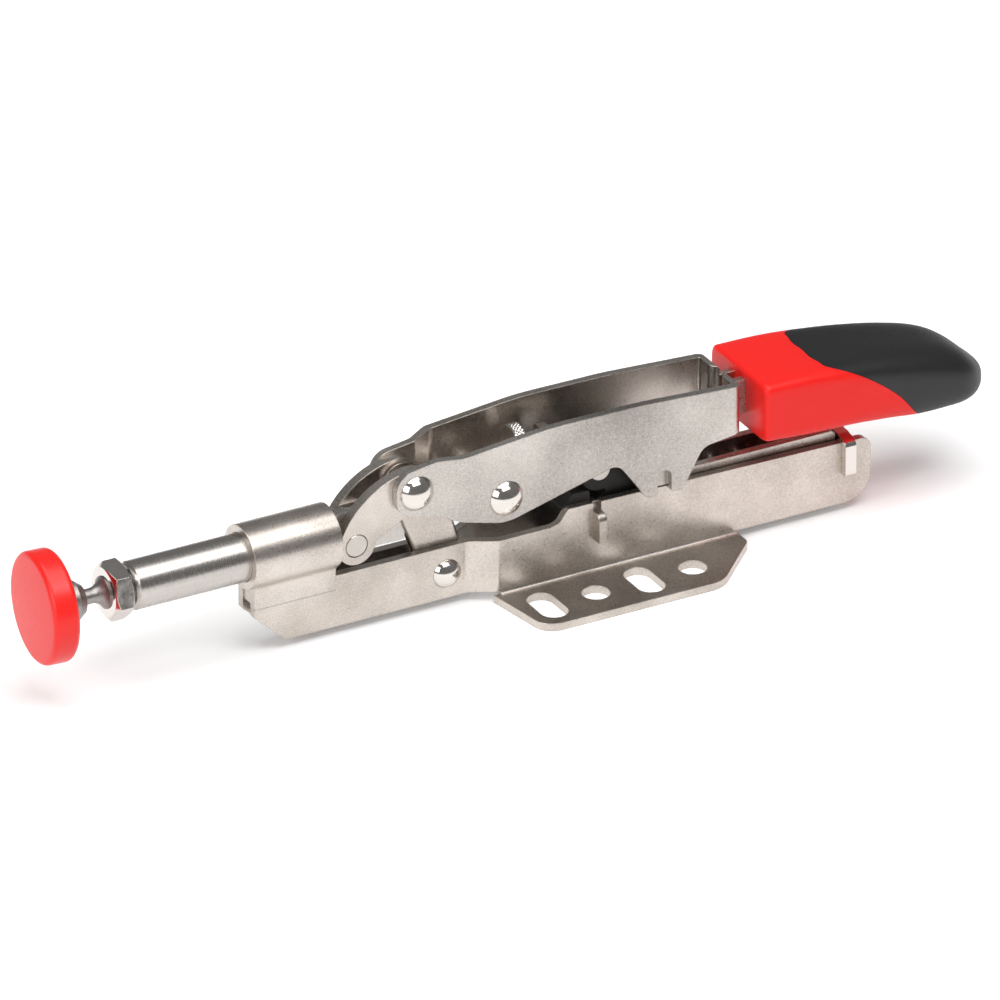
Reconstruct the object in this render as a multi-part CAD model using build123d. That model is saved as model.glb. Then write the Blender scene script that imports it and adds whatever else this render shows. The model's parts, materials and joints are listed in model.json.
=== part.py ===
from build123d import *
import math
import os

# Straight-line toggle clamp with a self-setting linkage. Millimetres.
# +X runs from the pressure pad to the hand grip, +Y to the far side and +Z up. The mounting
# face is z = 0, and the origin is the centre of the rectangle of the four round fixing holes.
# The linkage is drawn locked: the handle down and the plunger pushed out.

# --- fits -----------------------------------------------------------------------------------
running = 0.05              # radial clearance of pins, plunger and threads
side_play = 0.05            # gap between stacked link faces
travel_play = 0.2           # gap left where two moving pieces pass

# --- base -----------------------------------------------------------------------------------
sheet = 2.0                 # sheet of the side plates and of the handle plates
front_gap = 4.0             # clear width between the side plates at the front
rear_gap = 11.0             # clear width between them behind the joggle
base_front = -97.9
base_rear = 68.0
joggle_start = -39.7
joggle_end = -33.2
wall_bottom = 2.5
front_top = 16.2            # top of the side plates beside the linkage
rear_top = 20.0             # top of the side plates behind the step
rear_top_end = 18.8         # and at their rear end
step_start = -17.6
step_end = -15.0
sleeve_seat = 12.4          # height where the legs of the guide sleeve stand on the plates
nose_height = 10.2          # the lower front corner is cut off from here
nose_length = 8.5
heel_radius = 7.0

flange_front = -35.1
flange_rear = 31.3
flange_reach = 27.5         # half the width over both flanges
flange_slant = 3.2          # the front edge leans back by this over the flange
flange_chamfer_start = 12.6  # the rear corner is cut at 45 degrees from this half width
hole_pitch = 13.2           # from each hole of a row to the next
hole_offset = 18.0          # half the distance between the two rows
hole_radius = 3.5
slot_length = 13.3

cross_plate_low = 3.0
middle_plate_x = -8.0
middle_plate_sheet = 2.1
middle_plate_top = 19.2
middle_tab = 3.0            # how far the tabs stand out of the side plates
middle_tab_low = 10.1
middle_tab_high = 17.3
rear_plate_x = 59.9
rear_plate_sheet = 3.0
rear_plate_top = 20.4
rear_tab = 2.0
rear_tab_low = 10.4
rear_tab_high = 19.5

# --- guide sleeve, plunger and pad ------------------------------------------------------------
axis_z = 25.3               # height of the plunger axis
plunger_radius = 6.0
sleeve_radius = 8.0
sleeve_front = -99.5
sleeve_rear = -76.0
leg_blend = 3.0
spacer_low = 13.0
spacer_step = 6.0

plunger_front = -129.9
plunger_chamfer = 0.8
tongue_thickness = 3.9
tongue_rear_gap = 4.5       # from the pin centre to the rear end of the thick tongue
tail_thickness = 1.4
tail_height = 7.5
tail_rear = -55.6
pin_rise = 2.9              # the pin climbs this much in the slot of the tongue

thread_radius = 4.0         # M8
nut_across_flats = 13.0
nut_thickness = 5.0
nut_turn = 14.0             # degrees
nut_gap = 1.2               # the lock nut stands this far in front of the plunger
spindle_depth = 20.0        # length of thread inside the plunger
ball_x = -146.5
ball_radius = 3.5
neck_radius = 1.9
flare_length = 4.2          # the spindle widens over this length in front of the nut
socket_radius = 5.0
socket_front = -152.6
socket_shoulder = -144.2
socket_rear = -142.2
pad_radius = 13.8
pad_front = -155.3
pad_rear = -148.1
pad_dome = 0.5
pad_yaw = -4.5              # the pad hangs this many degrees askew on its ball

# --- linkage: pivot centres (x, z) --------------------------------------------------------------
plunger_pivot = (-70.8, 23.2)
front_pivot = (-55.6, 34.25)
handle_pivot = (-32.9, 28.5)
base_pivot = (-45.9, 9.0)
slider_pivot = (-4.6, 26.5)

pin_radius = 3.0
rivet_head = 4.5
rivet_dome = 2.8
base_rivet_head = 3.75
base_rivet_dome = 2.2
link_gap = 4.1              # clear width between the two links
link_thickness = 2.9
link_low_radius = 5.0
link_high_radius = 5.3
rocker_width = 3.8
rocker_sheet = 1.1
rocker_eye = 4.6
strut_thickness = 4.4
strut_front_eye = 5.0
strut_rear_eye = 4.5
strut_height = 5.6
strut_pin_reach = 5.65      # half the length of the pin in the front eye; the screw head is narrower
slider_pin_radius = 2.7

screw_axis_z = 36.4
screw_radius = 2.0
screw_head_radius = 5.5
screw_head_front = -26.8
screw_head_length = 2.9
screw_rear = -8.2
lug_front = -18.6
lug_thickness = 2.5
lug_top = 39.4
lug_width = 6.0

# --- handle -------------------------------------------------------------------------------------
ear_inner = 5.0             # half the clear width between the ears
body_inner = 7.8            # half the clear width between the plates behind the joggle
handle_joggle_start = -49.6
handle_joggle_end = -44.1
handle_rear = 31.4
tang_inner = 1.5
tang_rear = 70.0
tang_low = 31.5
tang_high = 40.3
fold_radius = 2.3
dimple_left = 8.2
dimple_right = 12.0
dimple_top = 25.0
dimple_depth = 1.9

grip_front = 35.6
grip_half_width = 13.7
seam_top = (53.7, 44.6)     # the cover meets the core along this arc in side view
seam_middle = (66.6, 36.6)
seam_bottom = (78.9, 22.4)
core_tongue_skin = 0.9       # the core stands this far above the tang under the cover
core_tongue_half = 6.0
core_tongue = [             # side view of the core under the cover
    (50, 31), (76, 28), (91, 27), (87, 32), (tang_rear + 2, tang_high + core_tongue_skin),
    (50, tang_high + core_tongue_skin),
]
grip_stations = [           # (x, underside, top, half width, edge radius) along the grip
    (grip_front, 28.2, 43.0, grip_half_width, 2.6),
    (60, 25.8, 43.2, grip_half_width, 3.0),
    (76, 23.6, 41.4, 13.2, 4.4),
    (88, 22.6, 37.4, 11.8, 5.4),
    (96, 22.6, 32.4, 9.2, 4.6),
    (100.6, 23.6, 28.4, 5.0, 2.3),
]

# --- wedge slider ---------------------------------------------------------------------------------
rail_half_width = 5.2
rail_floor = 8.0
rail_sheet = 2.0
rail_side_front = 19.4
rail_side_rear = 59.4
rail_top = 21.4
slider_half_width = 4.5
slider_rear = 7.2
slider_top = 30.0
slider_lug_radius = 5.3
slider_tail_rear = 17.0
slider_tail_height = 8.0
front_block_front = -15.6
front_block_top = 22.5
spring_radius = 2.4
spring_wire = 0.45
spring_turns = 12


# --- drawing aids -----------------------------------------------------------------------------------
def outline(points, radii=0):
    """Closed flat outline with one corner radius for each point."""
    if isinstance(radii, (int, float)):
        radii = [radii] * len(points)
    shape = make_face(Polyline(*points, close=True))
    for radius in sorted(set(radii) - {0}):
        wanted = [Vector(*point) for point, value in zip(points, radii) if value == radius]
        corners = [v for v in shape.vertices() if any((Vector(v) - w).length < 0.001 for w in wanted)]
        shape = fillet(corners, radius)
    return shape


def plate(shape, y_low, y_high):
    """Solid between two Y planes of a flat shape drawn in X and Z."""
    return extrude(Plane.XZ.offset(-y_high) * shape, amount=y_high - y_low, dir=(0, -1, 0))


def bar(shape, x_low, x_high):
    """Solid between two X planes of a flat shape drawn in Y and Z."""
    return extrude(Plane.YZ.offset(x_low) * shape, amount=x_high - x_low, dir=(1, 0, 0))


def slab(shape, z_low, z_high):
    """Solid between two Z planes of a flat shape drawn in X and Y."""
    return extrude(Plane.XY.offset(z_low) * shape, amount=z_high - z_low, dir=(0, 0, 1))


def block(x_low, x_high, y_low, y_high, z_low, z_high):
    """Plain box given by its limits."""
    centre = Pos((x_low + x_high) / 2, (y_low + y_high) / 2, (z_low + z_high) / 2)
    return centre * Box(x_high - x_low, y_high - y_low, z_high - z_low)


def disc(centre, radius):
    """Flat circle drawn about a pivot centre."""
    return Pos(*centre) * Circle(radius)


def cross_pin(centre, radius, y_low, y_high):
    """Cylinder along Y."""
    return plate(disc(centre, radius), y_low, y_high)


def turned(profile, x_axis_z=axis_z):
    """Solid of revolution about a line along X, from an outline of (x, radius)."""
    flat = Plane.XZ * make_face(profile)
    return Pos(0, 0, x_axis_z) * revolve(flat, Axis.X, 360)


def domed_end(centre, face_y, radius, height):
    """Dome of a rivet head that stands on the plane y = face_y and points to -Y."""
    sphere = (radius ** 2 + height ** 2) / (2 * height)
    half_way = math.asin(radius / sphere) / 2
    middle = (sphere * math.sin(half_way), height - sphere + sphere * math.cos(half_way))
    crown = ThreePointArc((radius, 0), middle, (0, height))
    edge = Line((0, 0), (radius, 0)) + crown + Line((0, height), (0, 0))
    dome = revolve(make_face(edge), Axis.Y, 360)
    return Pos(centre[0], face_y, centre[1]) * Rot(X=180) * dome


def rivet(centre, reach, head_radius, dome_height):
    """Riveted pin along Y: a shank over 2 x reach with a domed head on both ends."""
    near = domed_end(centre, -reach, head_radius, dome_height)
    return cross_pin(centre, pin_radius, -reach, reach) + near + mirror(near, Plane.XZ)


def far_side(solid):
    """Mirror image of a near-side piece."""
    return mirror(solid, Plane.XZ)


# --- base ---------------------------------------------------------------------------------------------
def joggled_strip(x_low, x_high, joggle, inner, sheet_radius):
    """Plan of a near-side sheet: inner[0] from the middle in front of the joggle, inner[1] behind it."""
    start, end = joggle
    shift = sheet * math.tan(math.atan2(inner[1] - inner[0], end - start) / 2)
    near = [(x_low, -inner[0] - sheet), (start - shift, -inner[0] - sheet), (end - shift, -inner[1] - sheet),
            (x_high, -inner[1] - sheet)]
    far = [(x_high, -inner[1]), (end, -inner[1]), (start, -inner[0]), (x_low, -inner[0])]
    radii = [0, sheet_radius + sheet, sheet_radius, 0, 0, sheet_radius + sheet, sheet_radius, 0]
    return outline(near + far, radii)


def side_wall_outline():
    """Side view of a base plate above its flange."""
    return outline(
        [(base_front, nose_height), (base_front + nose_length, wall_bottom), (base_rear, wall_bottom),
         (base_rear, rear_top_end), (step_end, rear_top), (step_start, front_top), (sleeve_rear, front_top),
         (sleeve_rear, sleeve_seat), (base_front, sleeve_seat)],
        [1, 1, heel_radius, 3, 2.5, 3.5, 0, 0, 0])


def flange_outline():
    """Plan of the near-side flange, which starts at the outer face of the wall."""
    wall_face = rear_gap / 2 + sheet
    cut = flange_reach - flange_chamfer_start
    return outline(
        [(flange_front, -wall_face + 1), (flange_front, -wall_face), (flange_front + flange_slant, -flange_reach),
         (flange_rear - cut, -flange_reach), (flange_rear, -flange_chamfer_start), (flange_rear, -wall_face + 1)],
        [0, 0, 5, 8, 2, 0])


def flange_holes():
    """Round holes and cross slots of the near-side flange, in turn along X."""
    holes = Sketch()
    for step in (-1, 1):
        holes += Pos(step * hole_pitch, -hole_offset) * Circle(hole_radius)
    for step in (-2, 0):
        holes += Pos(step * hole_pitch, -hole_offset) * Rot(Z=90) * SlotOverall(slot_length, 2 * hole_radius)
    return holes


def base_side():
    """Near-side plate of the base: joggled wall, out-turned flange and open slots for the cross plates."""
    strip = joggled_strip(base_front, base_rear, (joggle_start, joggle_end), (front_gap / 2, rear_gap / 2), 1.5)
    wall = slab(strip, 0, rear_top) & plate(side_wall_outline(), -rear_gap, 0)
    inner = rear_gap / 2
    fold = outline([(-inner, 0), (-inner, 2 * wall_bottom), (-inner - sheet, 2 * wall_bottom),
                    (-inner - sheet, sheet), (-inner - 2 * sheet, sheet), (-inner - 2 * sheet, 0)],
                   [sheet + 0.8, 0, 0, 0.8, 0, 0])
    foot = slab(flange_outline() - flange_holes(), 0, sheet)
    foot -= block(flange_front - 1, flange_rear + 1, -inner - sheet, 0, -1, sheet + 1)
    side = wall + bar(fold, joggle_end, flange_rear) + foot
    for x, thickness, low in ((middle_plate_x, middle_plate_sheet, middle_tab_low),
                              (rear_plate_x, rear_plate_sheet, rear_tab_low)):
        side -= block(x, x + thickness, -rear_gap, 0, low, rear_top + 1)
    return side - cross_pin(base_pivot, pin_radius, -rear_gap, 0)


def cross_plate(x_front, thickness, top, tab, tab_low, tab_high):
    """Upright plate between the side plates, with a tab through the open slot of each."""
    inner = rear_gap / 2
    tip = inner + sheet + tab
    shoulder = tab_high + 0.8
    half = [(inner, cross_plate_low), (inner, tab_low), (tip, tab_low), (tip, tab_high), (inner, shoulder),
            (inner, top)]
    radii = [1, 0, 0.8, min(tab, 2.2), 0, 0]
    shape = outline(half + [(-y, z) for y, z in reversed(half)], radii + radii[::-1])
    return bar(shape, x_front, x_front + thickness)


def guide_sleeve():
    """Tube that guides the plunger, with two legs that stand on the side plates."""
    half = front_gap / 2 + sheet
    section = Pos(0, axis_z) * Circle(sleeve_radius) + Pos(0, (axis_z + sleeve_seat) / 2) * Rectangle(
        2 * half, axis_z - sleeve_seat)
    crotches = [v for v in section.vertices() if sleeve_seat + 1 < v.Y < axis_z]
    section = fillet(crotches, leg_blend)
    bore = Pos(0, axis_z) * Circle(plunger_radius + running)
    slit = Pos(0, (axis_z + sleeve_seat) / 2) * Rectangle(front_gap, axis_z - sleeve_seat)
    tube = bar(Pos(0, axis_z) * Circle(sleeve_radius) - bore, sleeve_front, sleeve_rear)
    return bar(section - bore - slit, base_front, sleeve_rear) + tube


def front_spacer():
    """Bar that fills the slit of the sleeve and reaches down between the side plates."""
    top = axis_z - sleeve_radius
    front = base_front + 0.4
    shape = outline([(front, spacer_low), (front + 7.5, spacer_low), (front + 7.5, spacer_step),
                     (sleeve_rear - 3, spacer_step), (sleeve_rear - 3, spacer_low), (sleeve_rear, spacer_low),
                     (sleeve_rear, top), (front, top)])
    return plate(shape, -front_gap / 2, front_gap / 2)


def slide_rail():
    """Folded channel between the cross plates. The slider runs on its floor and into its sides."""
    floor_top = rail_floor + rail_sheet
    front = middle_plate_x + middle_plate_sheet
    channel = outline([(-rail_half_width, rail_floor), (rail_half_width, rail_floor),
                       (rail_half_width, rail_top), (rail_half_width - rail_sheet, rail_top),
                       (rail_half_width - rail_sheet, floor_top), (-rail_half_width + rail_sheet, floor_top),
                       (-rail_half_width + rail_sheet, rail_top), (-rail_half_width, rail_top)],
                      [rail_sheet, rail_sheet, 0, 0, 0.3, 0.3, 0, 0])
    side_view = outline([(front, rail_floor), (rear_plate_x, rail_floor), (rear_plate_x, floor_top + 1),
                         (rail_side_rear, floor_top + 1), (rail_side_rear, rail_top),
                         (rail_side_front, rail_top), (rail_side_front, floor_top), (front, floor_top)],
                        [0, 0, 0, 0, 1.5, 1.5, 0, 0])
    return bar(channel, front, rear_plate_x) & plate(side_view, -rail_half_width, rail_half_width)


def front_block():
    """Moulded block in front of the middle cross plate, which keeps dirt off the slider."""
    shape = outline([(front_block_front, rail_floor), (middle_plate_x, rail_floor),
                     (middle_plate_x, front_block_top), (front_block_front + 3, front_block_top),
                     (front_block_front, front_block_top - 3)], [1, 0, 0.8, 0.8, 0.8])
    return plate(shape, -rear_gap / 2, rear_gap / 2)


# --- plunger and pad ------------------------------------------------------------------------------------
def plunger():
    """Round bar, tapped in front, with a slotted tongue and a thin tail behind."""
    rear = plunger_pivot[0] + tongue_rear_gap
    body = turned(Polyline((plunger_front, 0), (plunger_front, plunger_radius - plunger_chamfer),
                           (plunger_front + plunger_chamfer, plunger_radius), (tail_rear, plunger_radius),
                           (tail_rear, 0), close=True))
    flat_start = plunger_pivot[0] - link_low_radius - travel_play
    low = axis_z - plunger_radius
    tail_top = low + tail_height
    tongue = outline([(flat_start, low - 1), (rear, low - 1), (rear, axis_z + plunger_radius + 1),
                      (flat_start, axis_z + plunger_radius + 1)], [0, tongue_rear_gap + 2, 2, 0])
    tail = outline([(rear - 3, low), (tail_rear, low), (tail_rear, low + 2), (tail_rear - 1.4, tail_top),
                    (rear - 3, tail_top)], [0, 0.5, 2, 1, 0])
    keep = block(plunger_front - 1, flat_start, -plunger_radius - 1, plunger_radius + 1, low - 1,
                 axis_z + plunger_radius + 1)
    keep += plate(tongue, -tongue_thickness / 2, tongue_thickness / 2)
    keep += plate(tail, -tail_thickness / 2, tail_thickness / 2)
    body &= keep
    slot_radius = pin_radius + running
    slot_x, slot_z = plunger_pivot
    slot = Pos(slot_x + 0.15, slot_z + pin_rise / 2) * RectangleRounded(
        2 * slot_radius + 0.4, 2 * slot_radius + pin_rise, slot_radius - 0.1)
    body -= plate(slot, -plunger_radius, plunger_radius)
    bore_end = plunger_front + spindle_depth + 3
    return body - turned(Polyline((plunger_front - 1, 0), (plunger_front - 1, thread_radius),
                                  (bore_end, thread_radius), (bore_end + 2, 0), close=True))


def lock_nut():
    """Thin hexagon nut with both faces chamfered."""
    corner = nut_across_flats / math.sqrt(3)
    rear = plunger_front - nut_gap
    front = rear - nut_thickness
    hexagon = bar(Pos(0, axis_z) * Rot(Z=nut_turn) * RegularPolygon(corner, 6), front, rear)
    flat = nut_across_flats / 2
    rise = (corner - flat + 0.4) * math.tan(math.radians(30))
    envelope = turned(Polyline((front, thread_radius), (front, flat - 0.4), (front + rise, corner),
                               (rear - rise, corner), (rear, flat - 0.4), (rear, thread_radius), close=True))
    return hexagon & envelope


def spindle():
    """Threaded spindle with a tapered neck and a ball."""
    radius = thread_radius - running
    rear = plunger_front + spindle_depth
    front = plunger_front - nut_gap - nut_thickness
    neck, flare = (front - flare_length, neck_radius), (front - 0.4, radius)
    waist = ThreePointArc(neck, (front - 0.4 * flare_length, neck_radius + 0.6), flare)
    ends = Polyline(flare, (rear - 1, radius), (rear, radius - 1), (rear, 0), (ball_x, 0),
                    (ball_x, neck_radius), neck)
    shaft = turned(waist + ends)
    return shaft + Pos(ball_x, 0, axis_z) * Sphere(ball_radius)


def askew(solid):
    """Turn a pad piece about the ball to the angle at which the pad hangs."""
    ball = Pos(ball_x, 0, axis_z)
    return ball * Rot(Z=pad_yaw) * ball.inverse() * solid


def pad_socket():
    """Steel cup that is rolled round the ball."""
    mouth = neck_radius + 0.9
    cup = turned(Polyline((socket_front, 0), (socket_front, socket_radius), (socket_shoulder, socket_radius),
                          (socket_rear, mouth + 0.7), (socket_rear, 0), close=True))
    cup -= Pos(ball_x, 0, axis_z) * Sphere(ball_radius + running)
    cup -= turned(Polyline((ball_x, 0), (ball_x, mouth - 0.8), (socket_rear + 1, mouth + 0.2),
                           (socket_rear + 1, 0), close=True))
    return askew(cup)


def pad_cap():
    """Round plastic pressure pad with a slightly domed face, pushed on the cup."""
    face = ThreePointArc((pad_front, 0), (pad_front + pad_dome / 4, pad_radius / 2),
                         (pad_front + pad_dome, pad_radius))
    rest = Polyline((pad_front + pad_dome, pad_radius), (pad_rear, pad_radius), (pad_rear, socket_radius),
                    (socket_front, socket_radius), (socket_front, 0), (pad_front, 0))
    cap = turned(face + rest)
    rims = [e for e in cap.edges().filter_by(GeomType.CIRCLE) if e.radius > pad_radius - 0.1]
    return askew(fillet(rims, 1.5))


# --- linkage ---------------------------------------------------------------------------------------------
def link():
    """Near-side banana link between the plunger and the front pivot."""
    low, high = plunger_pivot, front_pivot
    upper = ThreePointArc((low[0] - link_low_radius, low[1]), (-69.9, 33.2), (high[0], high[1] + link_high_radius))
    lower = ThreePointArc((high[0], high[1] - link_high_radius), (-62.2, 25.0), (low[0] + link_low_radius, low[1]))
    body = make_face(upper + Line(upper @ 1, lower @ 0) + lower + Line(lower @ 1, upper @ 0))
    shape = body + disc(low, link_low_radius) + disc(high, link_high_radius)
    shape -= disc(low, pin_radius)
    shape -= disc(high, pin_radius + running)
    inner = link_gap / 2
    return plate(shape, -inner - link_thickness, -inner)


def link_pin():
    """Pin with flush ends that is pressed into both links and rides in the slot of the plunger."""
    reach = link_gap / 2 + link_thickness
    pin = cross_pin(plunger_pivot, pin_radius, -reach, reach)
    return chamfer(pin.edges().filter_by(GeomType.CIRCLE), 0.3)


def rocker():
    """Folded support link from the base to the front pivot, open towards the plunger."""
    corners = [disc(base_pivot, rocker_eye), disc(front_pivot, rocker_eye),
               disc((-42.7, 12.3), 2.5), disc((-45.6, 24.4), 2)]
    shape = make_hull([c.edges() for c in corners])
    half = rocker_width / 2
    inner = half - rocker_sheet
    solid = plate(shape, -half, half)
    back = [e for e in solid.edges() if e.center().X > -46 and abs(abs(e.center().Y) - half) < 0.01
            and 13 < e.center().Z < 24]
    solid = fillet(back, rocker_sheet - 0.1)
    pocket = Pos(-rocker_sheet / math.cos(math.radians(16)), 0) * shape + Pos(-rocker_sheet - 4, 0) * shape
    for centre in (base_pivot, front_pivot):
        pocket += disc(centre, rocker_eye + 0.5)
    solid -= plate(pocket, -inner, inner)
    for centre in (base_pivot, front_pivot):
        solid -= cross_pin(centre, pin_radius + running, -half - 1, half + 1)
    return solid


def strut():
    """Thrust bar from the slider to the handle, with an upright lug for the force screw."""
    rear, front = slider_pivot, handle_pivot
    half_height = strut_height / 2
    shape = outline([(front[0], front[1] - half_height), (rear[0], rear[1] - half_height),
                     (rear[0], rear[1] + half_height), (front[0], front[1] + half_height)])
    shape += disc(front, strut_front_eye) + disc(rear, strut_rear_eye)
    shape -= disc(front, pin_radius) + disc(rear, slider_pin_radius + running)
    solid = plate(shape, -strut_thickness / 2, strut_thickness / 2)
    lug = outline([(-lug_width / 2, rear[1] + 1), (lug_width / 2, rear[1] + 1), (lug_width / 2, lug_top),
                   (-lug_width / 2, lug_top)], [0, 0, 1, 1]) - Pos(0, screw_axis_z) * Circle(screw_radius + running)
    return solid + bar(lug, lug_front, lug_front + lug_thickness)


def strut_pin():
    """Pin pressed into the front eye of the strut."""
    return cross_pin(handle_pivot, pin_radius, -strut_pin_reach, strut_pin_reach)


def force_screw():
    """Adjusting screw with a large knurled head."""
    head_rear = screw_head_front + screw_head_length
    shape = Polyline((screw_head_front, 0), (screw_head_front, screw_head_radius - 0.8),
                     (screw_head_front + 0.6, screw_head_radius), (head_rear - 0.4, screw_head_radius),
                     (head_rear, screw_head_radius - 0.4), (head_rear, screw_radius),
                     (screw_rear - 0.6, screw_radius), (screw_rear, screw_radius - 0.6), (screw_rear, 0), close=True)
    return turned(shape, screw_axis_z)


def slider_block():
    """Moulded wedge slider: a clevis for the strut in front and a tail that runs in the rail."""
    floor_top = rail_floor + rail_sheet + running
    front = middle_plate_x + middle_plate_sheet + travel_play
    shape = outline([(front, floor_top), (slider_rear, floor_top), (slider_rear, slider_top),
                     (slider_pivot[0], slider_top), (slider_pivot[0] + 1.5, 20), (front, 18.5)],
                    [0.5, 0.5, 3, 0, 2, 1])
    body = plate(shape + disc(slider_pivot, slider_lug_radius), -slider_half_width, slider_half_width)
    clear = strut_rear_eye + travel_play
    half = strut_thickness / 2 + side_play
    body -= block(slider_pivot[0] - 12, slider_pivot[0] + clear, -half, half,
                  slider_pivot[1] - clear, slider_top + 10)
    inner = rail_half_width - rail_sheet - travel_play
    tail = block(slider_rear - 1, slider_tail_rear, -inner, inner, floor_top, floor_top + slider_tail_height)
    return body + tail - cross_pin(slider_pivot, slider_pin_radius, -slider_half_width, slider_half_width)


def slider_pin():
    """Pin through the clevis of the slider and the rear eye of the strut."""
    reach = slider_half_width + 0.35
    pin = cross_pin(slider_pivot, slider_pin_radius, -reach, reach)
    return chamfer(pin.edges().filter_by(GeomType.CIRCLE), 0.25)


def slider_spring():
    """Open coil spring between the tail of the slider and the rear cross plate."""
    length = rear_plate_x - slider_tail_rear - 2 * spring_wire
    path = Helix(pitch=length / spring_turns, height=length, radius=spring_radius, direction=(1, 0, 0))
    coil = sweep(Plane(origin=path @ 0, z_dir=path % 0) * RegularPolygon(spring_wire, 6), path=path)
    height = rail_floor + rail_sheet + running + slider_tail_height / 2
    return Pos(slider_tail_rear + spring_wire, 0, height) * coil


# --- handle -----------------------------------------------------------------------------------------------
def handle_outline():
    """Side view of a handle plate with its tang: ear, pivot bulge, arch, two toes and grip end."""
    return outline(
        [(-61.1, 29.5), (-33.0, 21.9), (-2.6, 29.9), (5.3, 18.9), (dimple_left, 18.9),
         (dimple_left, rear_top + travel_play), (dimple_right, rear_top + travel_play), (dimple_right, 18.9),
         (15.1, 18.9), (20.6, 28.7), (handle_rear, 30.1), (handle_rear, tang_low), (tang_rear, tang_low),
         (tang_rear, tang_high), (handle_rear, tang_high), (handle_rear, 42.5), (4, 44.1), (-20, 44.3),
         (-47, 41.7), (-61.1, 39.7)],
        [5.1, 12, 3.5, 1.3, 0.9, 0, 0, 0.6, 1.4, 4, 0, 0, 3, 3, 0, 0.8, 90, 90, 20, 5.2])


def handle_plate():
    """Near-side handle plate: joggled sheet, folded in at the rear and out again as a tang."""
    front = -61.1
    outer = body_inner + sheet
    shift = sheet * math.tan(math.atan2(body_inner - ear_inner, handle_joggle_end - handle_joggle_start) / 2)
    strip = outline(
        [(front, -ear_inner - sheet), (handle_joggle_start - shift, -ear_inner - sheet),
         (handle_joggle_end - shift, -outer), (handle_rear, -outer), (handle_rear, -tang_inner - sheet),
         (tang_rear, -tang_inner - sheet), (tang_rear, -tang_inner), (handle_rear - sheet, -tang_inner),
         (handle_rear - sheet, -body_inner), (handle_joggle_end, -body_inner),
         (handle_joggle_start, -ear_inner), (front, -ear_inner)],
        [0, 3, 2, fold_radius, 0.5, 0, 0, 0.5 + sheet, 0.4, 4, 1, 0])
    solid = slab(strip, 0, 60) & plate(handle_outline(), -2 * outer, 0)
    width = dimple_right - dimple_left
    low = rear_top + travel_play
    pressed = outline([(dimple_left, low), (dimple_right, low), (dimple_right, dimple_top),
                       (dimple_left, dimple_top)], [0, 0, width * 0.45, width * 0.45])
    raised = outline([(dimple_left - 1, low), (dimple_right + 1, low), (dimple_right + 1, dimple_top + 1),
                      (dimple_left - 1, dimple_top + 1)], [0, 0, width * 0.6, width * 0.6])
    solid += plate(raised, -body_inner, -body_inner + dimple_depth)
    solid -= plate(pressed, -outer - 1, -outer + dimple_depth)
    solid -= cross_pin(front_pivot, pin_radius, -outer, 0)
    return solid - cross_pin(handle_pivot, pin_radius, -outer - 1, 0)


def handle_rivets():
    """Two short rivets on one axis, one in each plate, which end beside the pin of the strut."""
    outer = body_inner + sheet
    near = domed_end(handle_pivot, -outer, rivet_head, rivet_dome)
    near += cross_pin(handle_pivot, pin_radius, -outer, -strut_pin_reach - side_play)
    return near + far_side(near)


def grip_form():
    """Outer form of the hand grip, lofted through its stations."""
    sections = []
    for x, low, high, half_width, corner in grip_stations:
        place = Plane.YZ.offset(x) * Pos(0, (low + high) / 2)
        sections.append(place * RectangleRounded(2 * half_width, high - low, corner))
    return loft(sections)


def grip():
    """Hard grip core on the tang and the soft cover moulded over its rear part."""
    whole = grip_form()
    seam = ThreePointArc(seam_top, seam_middle, seam_bottom)
    behind = make_face(seam + Polyline(seam_bottom, (seam_bottom[0], 0), (120, 0), (120, 60), (seam_top[0], 60),
                                       seam_top))
    rear_zone = plate(behind, -2 * grip_half_width, 2 * grip_half_width)
    tongue = plate(outline(core_tongue, [0, 0, 2, 2, 2, 0]), -core_tongue_half, core_tongue_half)
    cover = (whole & rear_zone) - tongue
    core = (whole - rear_zone) + (tongue & rear_zone)
    tang = tang_inner + sheet
    core -= block(grip_front, tang_rear, -tang, tang, tang_low, tang_high)
    return core, cover


# --- assembly ----------------------------------------------------------------------------------------------
near_side = base_side()
near_link = link()
near_handle = handle_plate()
grip_core, grip_cover = grip()

parts = {
    "base_side_near": near_side,
    "base_side_far": far_side(near_side),
    "guide_sleeve": guide_sleeve(),
    "front_spacer": front_spacer(),
    "middle_cross_plate": cross_plate(middle_plate_x, middle_plate_sheet, middle_plate_top, middle_tab,
                                      middle_tab_low, middle_tab_high),
    "rear_cross_plate": cross_plate(rear_plate_x, rear_plate_sheet, rear_plate_top, rear_tab,
                                    rear_tab_low, rear_tab_high),
    "slide_rail": slide_rail(),
    "front_block": front_block(),
    "base_rivet": rivet(base_pivot, front_gap / 2 + sheet, base_rivet_head, base_rivet_dome),
    "plunger": plunger(),
    "spindle": spindle(),
    "lock_nut": lock_nut(),
    "pad_socket": pad_socket(),
    "pad_cap": pad_cap(),
    "link_near": near_link,
    "link_far": far_side(near_link),
    "link_pin": link_pin(),
    "rocker": rocker(),
    "strut": strut(),
    "strut_pin": strut_pin(),
    "force_screw": force_screw(),
    "slider_block": slider_block(),
    "slider_pin": slider_pin(),
    "slider_spring": slider_spring(),
    "handle_plate_near": near_handle,
    "handle_plate_far": far_side(near_handle),
    "front_rivet": rivet(front_pivot, ear_inner + sheet, rivet_head, rivet_dome),
    "handle_rivets": handle_rivets(),
    "grip_core": grip_core,
    "grip_cover": grip_cover,
}

os.makedirs("parts", exist_ok=True)
for name, shape in parts.items():
    export_step(shape, f"parts/{name}.step")
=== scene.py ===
"""Looks of the straight-line toggle clamp: plated sheet steel, polished rivets, red and black grip.

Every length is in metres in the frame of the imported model: +X from the pad to the grip, +Z up.
"""

import json
import math

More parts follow.
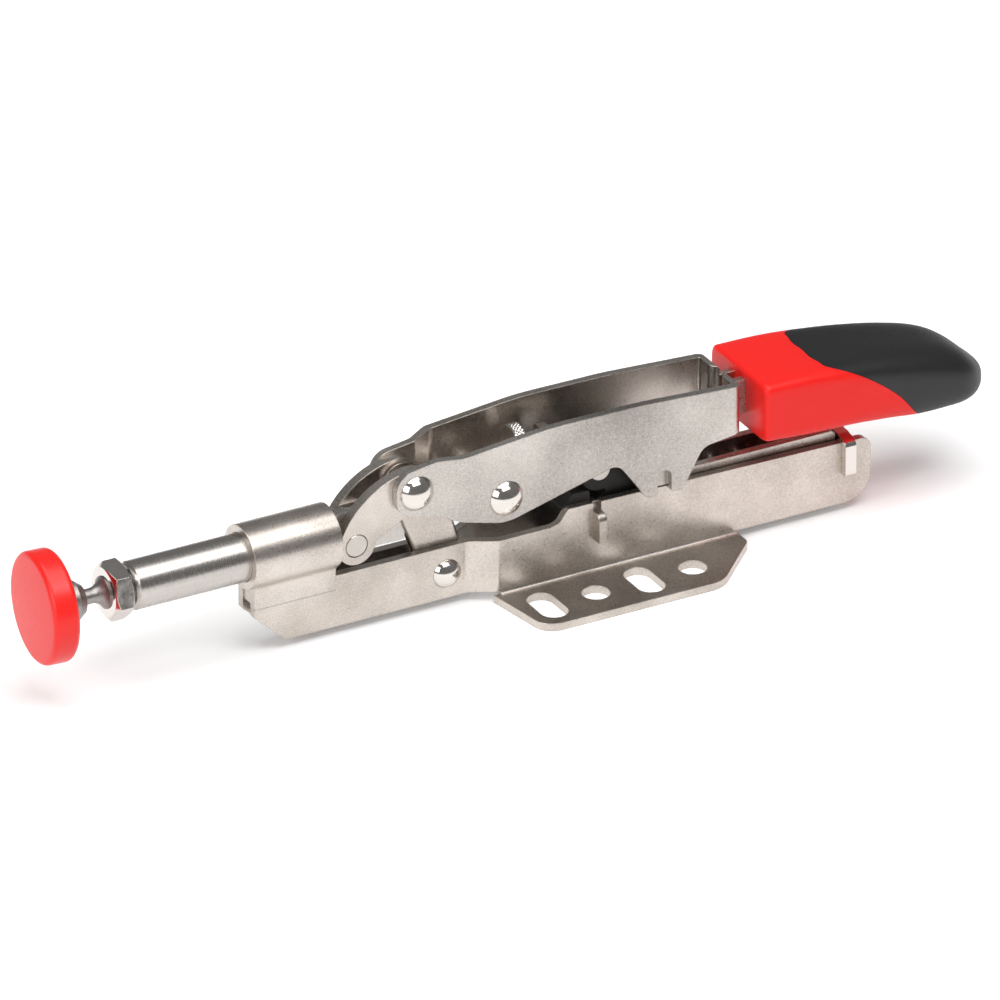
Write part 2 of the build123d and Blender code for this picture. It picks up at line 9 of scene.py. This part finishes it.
import bpy
import numpy as np
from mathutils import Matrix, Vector


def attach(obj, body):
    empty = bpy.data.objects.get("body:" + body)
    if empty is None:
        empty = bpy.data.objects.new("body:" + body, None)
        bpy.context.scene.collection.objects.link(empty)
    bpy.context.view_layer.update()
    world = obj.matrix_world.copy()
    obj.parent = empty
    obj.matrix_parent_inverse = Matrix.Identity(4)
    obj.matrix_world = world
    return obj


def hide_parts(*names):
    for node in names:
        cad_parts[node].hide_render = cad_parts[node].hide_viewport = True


MM = 0.001

# --- camera, floor and light ---------------------------------------------------------------------
AZIMUTH = math.radians(-29.0)       # 0 looks along +Y
ELEVATION = math.radians(27.7)
DISTANCE = 6.0
LENS_MM = 909.0
SENSOR_MM = 36.0
CLIP_END = 50
AIM = Vector((-29.3, 0.0, 22.7)) * MM
FLOOR_SIZE = 8
FLOOR_LIFT = 0.19                   # how much paler the floor shows than the lamps alone make it
ROOM_EDGES = (-0.7, 0.6)            # the room's light grows along +Y from the first to the second
ROOM_STRENGTHS = (0.18, 0.22)
LAMPS = {                           # place, size (m) and watts
    "top box": ((-0.1, -0.1, 1.5), (1.6, 1.2), 18),
    "left box": ((-1.5, -0.6, 0.8), (0.9, 0.9), 11),
    "front box": ((0.1, -1.1, 1.7), (1.4, 0.5), 13),
}

# --- turned and threaded pieces ------------------------------------------------------------------
SCREW_Z = 36.4 * MM
SCREW_HEAD = (-26.8 * MM, -23.9 * MM)
SCREW_HEAD_RADIUS = 5.5 * MM
SCREW_HEAD_RIM = 0.5 * MM
SCREW_HEAD_ROWS = 15
SCREW_RADIUS = 2.0 * MM
SCREW_REAR = -8.2 * MM
SCREW_TIP_CHAMFER = 0.4 * MM
SCREW_PITCH = 0.7 * MM
THREAD_DEPTH = 0.3 * MM
THREAD_ROWS = 8                     # rows of points in one turn of the thread
THREAD_COLUMNS = 24
KNURL_COUNT = 34
KNURL_DEPTH = 0.28 * MM
KNURL_MARGIN = 0.12                 # share of the head's width left plain at each rim

# --- hand grip: x, underside, top, half width (mm) and squareness of the section ------------------
GRIP_STATIONS = [
    (35.6, 27.0, 42.6, 13.75, 9.0),
    (48.0, 26.0, 42.5, 13.75, 8.0),
    (60.0, 24.9, 41.9, 13.7, 5.5),
    (70.0, 23.5, 41.0, 13.6, 4.2),
    (80.0, 22.0, 39.3, 13.4, 3.6),
    (88.0, 21.6, 37.2, 12.9, 3.2),
    (94.0, 21.4, 34.6, 12.3, 2.9),
    (98.0, 21.2, 32.4, 11.5, 2.7),
]
GRIP_NOSE = 88.0 * MM               # the grip closes from here to its tip
GRIP_TIP = 100.5 * MM
NOSE_BLUNTNESS = 2.8
GRIP_FACE_INSETS = (6.9, 6.0, 4.0)  # rings on the front face, in mm from the section's rim
GRIP_EDGE = 1.3 * MM                # radius round the front face
GRIP_MIDDLE_Z = 33.0 * MM
SEAM = [                            # (elevation round the section in degrees, x in mm)
    (-90, 81.0), (-41, 80.0), (-21, 76.3), (0, 71.2), (22, 62.5),
    (31, 57.6), (37, 54.6), (50, 53.3), (90, 53.0),
]
SEAM_DEPTH = 0.22 * MM
SEAM_WIDTH = 0.15 * MM
GRIP_COLUMNS = 192
EDGE_ROWS = 6
CORE_ROWS = 90
COVER_ROWS = 110

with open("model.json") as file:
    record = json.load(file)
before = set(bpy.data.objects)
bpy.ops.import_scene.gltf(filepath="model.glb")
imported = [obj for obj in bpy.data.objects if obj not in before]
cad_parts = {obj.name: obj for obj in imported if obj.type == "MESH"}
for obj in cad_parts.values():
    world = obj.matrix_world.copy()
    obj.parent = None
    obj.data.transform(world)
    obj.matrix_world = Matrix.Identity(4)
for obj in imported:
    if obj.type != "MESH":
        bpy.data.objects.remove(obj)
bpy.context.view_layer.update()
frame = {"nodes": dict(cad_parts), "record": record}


# --- making meshes -----------------------------------------------------------------------------
def grid_piece(name, x, y, z, poles):
    """Closed mesh of a grid of points whose last column joins its first, with a point closing each end.

    Row i is a ring, and poles are the two points that the first and the last ring are fanned to.
    """
    rows, columns = x.shape
    points = np.vstack([np.stack([x, y, z], axis=-1).reshape(-1, 3), np.array(poles)])
    index = np.arange(rows * columns).reshape(rows, columns)
    after = np.roll(index, -1, axis=1)
    quads = np.stack([index[:-1], index[1:], after[1:], after[:-1]], axis=-1).reshape(-1, 4)
    first, last = np.full(columns, rows * columns), np.full(columns, rows * columns + 1)
    fans = np.vstack([np.stack([first, index[0], after[0]], axis=-1),
                      np.stack([after[-1], index[-1], last], axis=-1)])
    mesh = bpy.data.meshes.new(name)
    mesh.from_pydata(points.tolist(), [], quads.tolist() + fans.tolist())
    mesh.update()
    corner = points[quads] - points.mean(axis=0)
    facing = np.cross(corner[:, 2] - corner[:, 0], corner[:, 3] - corner[:, 1])
    if (facing * corner.mean(axis=1)).sum() < 0:
        mesh.flip_normals()
    piece = bpy.data.objects.new(name, mesh)
    bpy.context.scene.collection.objects.link(piece)
    return piece


def turned_piece(name, stations, z, columns, relief):
    """Surface of revolution about the line y = 0 at height z, through stations of (x, radius).

    Point (i, j) lies at x_i and at the radius r_i + relief(i, j), at the angle 2 pi j / columns.
    """
    x, radius = (np.array(column)[:, None] for column in zip(*stations))
    angle = np.linspace(0, 2 * math.pi, columns, endpoint=False)[None, :]
    radius = np.repeat(radius, columns, axis=1) + relief(x, angle)
    x = np.repeat(x, columns, axis=1)
    poles = [(x[0, 0], 0, z), (x[-1, 0], 0, z)]
    return grid_piece(name, x, radius * np.cos(angle), z + radius * np.sin(angle), poles)


def through(stations, x):
    """Smooth curves through the columns of stations, by cubic Hermite pieces with averaged slopes."""
    table = np.array(stations, dtype=float)
    knots, values = table[:, 0], table[:, 1:]
    slopes = np.gradient(values, knots, axis=0)
    i = np.clip(np.searchsorted(knots, x, side="right") - 1, 0, len(knots) - 2)
    span = knots[i + 1] - knots[i]
    s = np.clip((x - knots[i]) / span, 0, 1)
    parts = ((2 * s**3 - 3 * s**2 + 1, values[i]), ((s**3 - 2 * s**2 + s) * span, slopes[i]),
             (3 * s**2 - 2 * s**3, values[i + 1]), ((s**3 - s**2) * span, slopes[i + 1]))
    return np.moveaxis(sum(weight[..., None] * value for weight, value in parts), -1, 0)


def shade_smooth(piece, degrees):
    """Smooth shading with edges kept sharp above an angle."""
    mesh = piece.data
    mesh.polygons.foreach_set("use_smooth", np.ones(len(mesh.polygons), dtype=bool))
    mesh.set_sharp_from_angle(angle=math.radians(degrees))


# --- finishes -----------------------------------------------------------------------------------
class Finish:
    """A material under construction, with short names for the nodes it needs."""

    def __init__(self, name, colour, metallic, roughness):
        self.material = bpy.data.materials.new(name)
        self.material.use_nodes = True
        self.tree = self.material.node_tree
        self.shader = self.tree.nodes["Principled BSDF"]
        self.shader.inputs["Base Color"].default_value = (*colour, 1.0)
        self.shader.inputs["Metallic"].default_value = metallic
        self.shader.inputs["Roughness"].default_value = roughness
        self.place = self.tree.nodes.new("ShaderNodeTexCoord").outputs["Object"]
        self.normal = None

    def node(self, kind, **values):
        new = self.tree.nodes.new(kind)
        for key, value in values.items():
            setattr(new, key, value)
        return new

    def link(self, start, end):
        self.tree.links.new(start, end)

    def stretched(self, scale):
        """Object place scaled differently along each axis."""
        mapping = self.node("ShaderNodeMapping")
        mapping.inputs["Scale"].default_value = scale
        self.link(self.place, mapping.inputs["Vector"])
        return mapping.outputs["Vector"]

    def noise(self, size, detail=4.0, roughness=0.55, place=None):
        """Noise whose blots are about size metres wide."""
        new = self.node("ShaderNodeTexNoise")
        new.inputs["Scale"].default_value = 1.0 / size
        new.inputs["Detail"].default_value = detail
        new.inputs["Roughness"].default_value = roughness
        self.link(place or self.place, new.inputs["Vector"])
        return new.outputs["Fac"]

    def blend(self, value, other, share):
        """Value with a share of another value mixed in."""
        new = self.node("ShaderNodeMix", data_type="FLOAT")
        new.inputs["Factor"].default_value = share
        self.link(value, new.inputs["A"])
        self.link(other, new.inputs["B"])
        return new.outputs["Result"]

    def remap(self, value, low, high, start=0.3, end=0.7):
        """The stretch start to end of a value, spread over low to high."""
        new = self.node("ShaderNodeMapRange")
        for socket, number in zip(("From Min", "From Max", "To Min", "To Max"), (start, end, low, high)):
            new.inputs[socket].default_value = number
        self.link(value, new.inputs["Value"])
        return new.outputs["Result"]

    def tint(self, value, dark, light):
        """Base colour that goes from dark to light with a value."""
        new = self.node("ShaderNodeMix", data_type="RGBA")
        new.inputs["A"].default_value = (*dark, 1.0)
        new.inputs["B"].default_value = (*light, 1.0)
        self.link(value, new.inputs["Factor"])
        self.link(new.outputs["Result"], self.shader.inputs["Base Color"])

    def rough(self, value, low, high):
        self.link(self.remap(value, low, high), self.shader.inputs["Roughness"])

    def bump(self, value, depth, strength):
        """Adds relief of a depth in metres on top of the relief so far."""
        new = self.node("ShaderNodeBump")
        new.inputs["Strength"].default_value = strength
        new.inputs["Distance"].default_value = depth
        self.link(value, new.inputs["Height"])
        if self.normal is not None:
            self.link(self.normal, new.inputs["Normal"])
        self.normal = new.outputs["Normal"]
        self.link(self.normal, self.shader.inputs["Normal"])

    def rounded_edges(self, radius):
        """Shading of edges as if they were broken with a radius."""
        new = self.node("ShaderNodeBevel", samples=8)
        new.inputs["Radius"].default_value = radius
        self.normal = new.outputs["Normal"]
        self.link(self.normal, self.shader.inputs["Normal"])


def plated_sheet():
    """Nickel-plated pressed sheet: warm grey and satin, clouded, with the fine peel of rolled steel."""
    finish = Finish("plated sheet", (0.64, 0.58, 0.53), 1.0, 0.3)
    finish.rounded_edges(0.3 * MM)
    cloud = finish.noise(16 * MM, 3.0)
    grain = finish.noise(0.45 * MM, 3.0, 0.65)
    shade = finish.remap(finish.blend(cloud, grain, 0.5), 0.0, 1.0, 0.38, 0.62)
    finish.tint(shade, (0.43, 0.385, 0.345), (0.66, 0.605, 0.555))
    finish.rough(grain, 0.26, 0.38)
    finish.bump(grain, 0.008 * MM, 0.6)
    return finish.material


def handle_plate_painted_reflection():
    """Plated handle sheet: cooler and smoother, a darker copy of the plated sheet with large soft dark
    clouds in its colour that are painted reflection.
    """
    finish = Finish("handle plate", (0.6, 0.57, 0.54), 1.0, 0.32)
    finish.rounded_edges(0.3 * MM)
    # painted reflection: large dark clouds in the base colour stand in for the darker reflections on the
    # plate
    painted_reflection_cloud = finish.noise(34 * MM, 2.0)
    grain = finish.noise(0.4 * MM, 2.0, 0.6)
    shade = finish.remap(finish.blend(painted_reflection_cloud, grain, 0.4), 0.0, 1.0, 0.36, 0.64)
    # painted reflection: the dark end of this tint is set well below the plated sheet's own
    finish.tint(shade, (0.30, 0.275, 0.255), (0.62, 0.58, 0.54))
    finish.rough(grain, 0.26, 0.42)
    finish.bump(grain, 0.010 * MM, 0.9)
    return finish.material


def plated_bar():
    """Bright bar with the fine rings and lengthwise streaks of drawing."""
    finish = Finish("plated bar", (0.72, 0.68, 0.65), 1.0, 0.2)
    rings = finish.noise(1.0, 2.0, 0.5, finish.stretched((2500.0, 60.0, 60.0)))
    streaks = finish.noise(1.0, 3.0, 0.6, finish.stretched((40.0, 900.0, 900.0)))
    finish.tint(streaks, (0.42, 0.39, 0.37), (0.58, 0.55, 0.52))
    finish.rough(rings, 0.25, 0.29)
    finish.bump(rings, 0.0015 * MM, 0.4)
    finish.bump(streaks, 0.012 * MM, 0.5)
    return finish.material


def polished():
    """Polished nickel of rivet heads, nut and small fasteners."""
    finish = Finish("polished nickel", (0.70, 0.66, 0.62), 1.0, 0.12)
    finish.rounded_edges(0.2 * MM)
    haze = finish.noise(2.0 * MM, 3.0)
    finish.rough(haze, 0.07, 0.18)
    finish.bump(haze, 0.006 * MM, 0.5)
    return finish.material


def pin_steel():
    """Ground end faces of pins: darker and duller than the plating."""
    finish = Finish("ground pin", (0.5, 0.47, 0.44), 1.0, 0.35)
    grain = finish.noise(0.4 * MM, 3.0)
    finish.tint(grain, (0.44, 0.41, 0.38), (0.62, 0.58, 0.54))
    finish.bump(grain, 0.012 * MM, 0.6)
    return finish.material


def socket_steel():
    """Ball socket and neck: grey, matt and coarsely grained."""
    finish = Finish("grained socket", (0.3, 0.28, 0.27), 1.0, 0.4)
    grain = finish.noise(0.45 * MM, 3.0, 0.65)
    finish.tint(grain, (0.14, 0.13, 0.125), (0.50, 0.475, 0.45))
    finish.rough(grain, 0.3, 0.5)
    finish.bump(grain, 0.05 * MM, 0.8)
    return finish.material


def spring_wire():
    """Drawn spring wire."""
    finish = Finish("spring wire", (0.4, 0.39, 0.38), 1.0, 0.3)
    finish.rough(finish.noise(1.0 * MM), 0.25, 0.4)
    return finish.material


def plastic(name, dark, light, roughness, grain_size, grain_depth, gloss=0.3):
    """Moulded plastic with an even fine grain."""
    finish = Finish(name, light, 0.0, roughness)
    finish.shader.inputs["Specular IOR Level"].default_value = gloss
    cloud = finish.noise(20 * MM, 2.0)
    finish.tint(cloud, dark, light)
    grain = finish.noise(grain_size, 2.0)
    finish.rough(grain, roughness - 0.05, roughness + 0.07)
    finish.bump(grain, grain_depth, 0.5)
    return finish.material


RED_DARK, RED_LIGHT = (0.80, 0.012, 0.009), (0.87, 0.017, 0.013)
FINISHES = {
    "plated_sheet": plated_sheet(),
    "plated_bar": plated_bar(),
    "polished": polished(),
    "bright_thread": socket_steel(),
    "pin_steel": pin_steel(),
    "spring_steel": spring_wire(),
    "pad_red": plastic("red pad", RED_DARK, RED_LIGHT, 0.34, 0.6 * MM, 0.02 * MM, 0.45),
    "slider_black": plastic("black moulding", (0.010, 0.009, 0.008), (0.018, 0.016, 0.014),
                            0.45, 0.8 * MM, 0.02 * MM),
    "grip_red": plastic("red grip", RED_DARK, RED_LIGHT, 0.36, 0.5 * MM, 0.012 * MM),
    "grip_black": plastic("soft black", (0.007, 0.007, 0.008), (0.011, 0.011, 0.012),
                          0.46, 0.5 * MM, 0.02 * MM, 0.5),
}
# The near handle plate takes a darker copy of the plated sheet, and its darkness is painted reflection.
NODE_FINISHES = {"handle_plate_near": handle_plate_painted_reflection()}


def dress(piece, material):
    piece.data.materials.clear()
    piece.data.materials.append(material)


for part in frame["record"]["subparts"]:
    node = frame["nodes"][part["node"]]
    for slot in node.material_slots:
        slot.material = NODE_FINISHES.get(part["node"], FINISHES[part["material_slot"]])


# --- pieces of this scene -----------------------------------------------------------------------
def helix_relief(pitch, depth):
    """Thread: a triangle wave of x / pitch minus the turn, as deep as depth."""
    def relief(x, angle):
        phase = (x / pitch - angle / (2 * math.pi)) % 1.0
        return -depth * np.abs(2 * phase - 1)
    return relief


def diamond_relief(count, depth, start, end):
    """Knurl: the larger of two sawtooth waves that lean opposite ways, left plain near both rims."""
    width = end - start

    def relief(x, angle):
        lean = (x - start) / SCREW_HEAD_RADIUS
        inside = (x > start + KNURL_MARGIN * width) & (x < end - KNURL_MARGIN * width)
        right = np.abs(2 * ((count * (angle + lean) / (2 * math.pi)) % 1.0) - 1)
        left = np.abs(2 * ((count * (angle - lean) / (2 * math.pi)) % 1.0) - 1)
        return np.where(inside, -depth * (1 - np.minimum(right, left)), 0.0)
    return relief


def force_screw():
    """Head with a diamond knurl and chamfered rims on a threaded shank."""
    front, rear = SCREW_HEAD
    rim_radius = SCREW_HEAD_RADIUS - SCREW_HEAD_RIM
    rim_width = SCREW_HEAD_RIM * 0.7
    knurled = np.linspace(front + rim_width, rear - rim_width, SCREW_HEAD_ROWS)
    stations = [(front, rim_radius), *((x, SCREW_HEAD_RADIUS) for x in knurled),
                (rear, rim_radius), (rear, SCREW_RADIUS)]
    head = turned_piece("screw_head", stations, SCREW_Z, 6 * KNURL_COUNT,
                        diamond_relief(KNURL_COUNT, KNURL_DEPTH, front, rear))
    steps = int((SCREW_REAR - rear) / SCREW_PITCH * THREAD_ROWS)
    turns = [(x, SCREW_RADIUS) for x in np.linspace(rear, SCREW_REAR - SCREW_TIP_CHAMFER, steps)]
    turns += [(SCREW_REAR, SCREW_RADIUS - SCREW_TIP_CHAMFER)]
    shank = turned_piece("screw_shank", turns, SCREW_Z, THREAD_COLUMNS,
                         helix_relief(SCREW_PITCH, THREAD_DEPTH))
    for piece in (head, shank):
        shade_smooth(piece, 25)
        dress(piece, FINISHES["polished"])
        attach(piece, "screw")
    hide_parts("force_screw")


def grip_section(x, angle, inset):
    """Ring of the grip at each x: a superellipse, point by point along rays at the given angles.

    The radius along a ray is (|cos / w|^n + |sin / h|^n)^(-1/n), with w and h the half width and the
    half height less inset, both closing to nothing at the tip.
    """
    low, high, width, square = through(GRIP_STATIONS, np.minimum(x / MM, GRIP_STATIONS[-1][0]))
    nose = np.clip((x - GRIP_NOSE) / (GRIP_TIP - GRIP_NOSE), 0, 1)
    taper = np.sqrt(np.maximum(1 - nose**NOSE_BLUNTNESS, 1e-5))
    half_height = (high - low) / 2 * MM * taper - inset
    half_width = width * MM * taper - inset
    radius = (np.abs(np.cos(angle) / half_width) ** square
              + np.abs(np.sin(angle) / half_height) ** square) ** (-1 / square)
    return radius * np.cos(angle), (low + high) / 2 * MM + radius * np.sin(angle)


def grip_piece(name, slot, x, inset, front_pole=None, rear_pole=None):
    """Closed piece of the grip from rings at x with their insets, dressed and carried by the handle.

    An end without a pole of its own is closed at the middle of its ring.
    """
    angle = np.linspace(0, 2 * math.pi, GRIP_COLUMNS, endpoint=False)[None, :]
    y, z = grip_section(x, np.repeat(angle, len(x), axis=0), inset)
    ends = [(x[row].mean(), 0.0, z[row].mean()) for row in (0, -1)]
    piece = grid_piece(name, x, y, z, [front_pole or ends[0], rear_pole or ends[1]])
    shade_smooth(piece, 50)
    dress(piece, FINISHES[slot])
    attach(piece, "handle")
    return piece


def hand_grip():
    """Red core with rounded front rim and black cover, meeting in a fine groove along the seam."""
    angle = np.linspace(0, 2 * math.pi, GRIP_COLUMNS, endpoint=False)
    rise = np.degrees(np.arctan2(np.sin(angle), np.abs(np.cos(angle))))
    seam = through(SEAM, rise)[0][None, :] * MM
    front = GRIP_STATIONS[0][0] * MM
    turn = np.linspace(0, math.pi / 2, EDGE_ROWS)[:, None]
    face_inset = np.array(GRIP_FACE_INSETS)[:, None] * MM
    rim_x = front + GRIP_EDGE * (1 - np.cos(turn))
    rim_inset = GRIP_EDGE * (1 - np.sin(turn))
    along = np.linspace(0, 1, CORE_ROWS)[1:, None]
    body_x = front + GRIP_EDGE + along * (seam - front - GRIP_EDGE)
    wide = np.ones((1, GRIP_COLUMNS))
    x = np.vstack([front * np.ones_like(face_inset) * wide, rim_x * wide, body_x, seam])
    inset = np.vstack([face_inset * wide, rim_inset * wide, 0 * body_x, SEAM_DEPTH * wide])
    middle = (seam.mean(), 0.0, GRIP_MIDDLE_Z)
    core = grip_piece("grip_hard_core", "grip_red", x, inset, rear_pole=middle)
    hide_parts("grip_core")
    reach = np.sin(np.linspace(0, 1, COVER_ROWS)[1:-1, None] * math.pi / 2)
    cover_x = np.vstack([seam, seam + SEAM_WIDTH, seam + reach * (GRIP_TIP - seam)])
    cover_inset = np.vstack([SEAM_DEPTH * wide, 0 * wide, 0 * reach * wide])
    cover = grip_piece("grip_soft_cover", "grip_black", cover_x, cover_inset, front_pole=middle)
    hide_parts("grip_cover")


force_screw()
hand_grip()


# --- camera, floor and light ---------------------------------------------------------------------
def place_camera():
    away = Vector((math.sin(AZIMUTH) * math.cos(ELEVATION), -math.cos(AZIMUTH) * math.cos(ELEVATION),
                   math.sin(ELEVATION)))
    data = bpy.data.cameras.new("camera")
    data.lens = LENS_MM
    data.sensor_width = SENSOR_MM
    data.clip_end = CLIP_END
    camera = bpy.data.objects.new("camera", data)
    camera.location = AIM + away * DISTANCE
    camera.rotation_euler = (-away).to_track_quat("-Z", "Y").to_euler()
    bpy.context.scene.collection.objects.link(camera)
    bpy.context.scene.camera = camera


def lay_floor():
    """Pale floor that keeps the shadow and shows paler to the camera and in reflections."""
    bpy.ops.mesh.primitive_plane_add(size=FLOOR_SIZE)
    floor = bpy.context.object
    floor.name = "floor"
    finish = Finish("pale floor", (0.93, 0.93, 0.93), 0.0, 0.8)
    finish.shader.inputs["Specular IOR Level"].default_value = 0.0
    rays = finish.node("ShaderNodeLightPath")
    seen = finish.node("ShaderNodeMath", operation="MAXIMUM")
    shown = finish.node("ShaderNodeMath", operation="MAXIMUM")
    lift = finish.node("ShaderNodeMath", operation="MULTIPLY")
    lift.inputs[1].default_value = FLOOR_LIFT
    finish.link(rays.outputs["Is Camera Ray"], seen.inputs[0])
    finish.link(rays.outputs["Is Glossy Ray"], seen.inputs[1])
    finish.link(seen.outputs[0], shown.inputs[0])
    finish.link(rays.outputs["Is Transmission Ray"], shown.inputs[1])
    finish.link(shown.outputs[0], lift.inputs[0])
    finish.link(lift.outputs[0], finish.shader.inputs["Emission Strength"])
    finish.shader.inputs["Emission Color"].default_value = (1, 1, 1, 1)
    dress(floor, finish.material)


def soft_lamp(name, place, size, watts):
    data = bpy.data.lights.new(name, "AREA")
    data.shape = "RECTANGLE"
    data.size, data.size_y = size
    data.energy = watts
    lamp = bpy.data.objects.new(name, data)
    lamp.location = place
    lamp.rotation_euler = (AIM - Vector(place)).to_track_quat("-Z", "Y").to_euler()
    bpy.context.scene.collection.objects.link(lamp)


def light_room():
    """Pale room, dimmer in front of the object than behind it, with three large soft lamps."""
    world = bpy.data.worlds.new("room")
    world.use_nodes = True
    tree = world.node_tree
    background = tree.nodes["Background"]
    background.inputs["Color"].default_value = (1, 1, 1, 1)
    way = tree.nodes.new("ShaderNodeTexCoord")
    split = tree.nodes.new("ShaderNodeSeparateXYZ")
    fade = tree.nodes.new("ShaderNodeMapRange")
    for socket, number in zip(("From Min", "From Max", "To Min", "To Max"), ROOM_EDGES + ROOM_STRENGTHS):
        fade.inputs[socket].default_value = number
    tree.links.new(way.outputs["Generated"], split.inputs[0])
    tree.links.new(split.outputs["Y"], fade.inputs["Value"])
    tree.links.new(fade.outputs["Result"], background.inputs["Strength"])
    bpy.context.scene.world = world
    for name, (place, size, watts) in LAMPS.items():
        soft_lamp(name, place, size, watts)
    bpy.context.scene.view_settings.view_transform = "Standard"


place_camera()
lay_floor()
light_room()
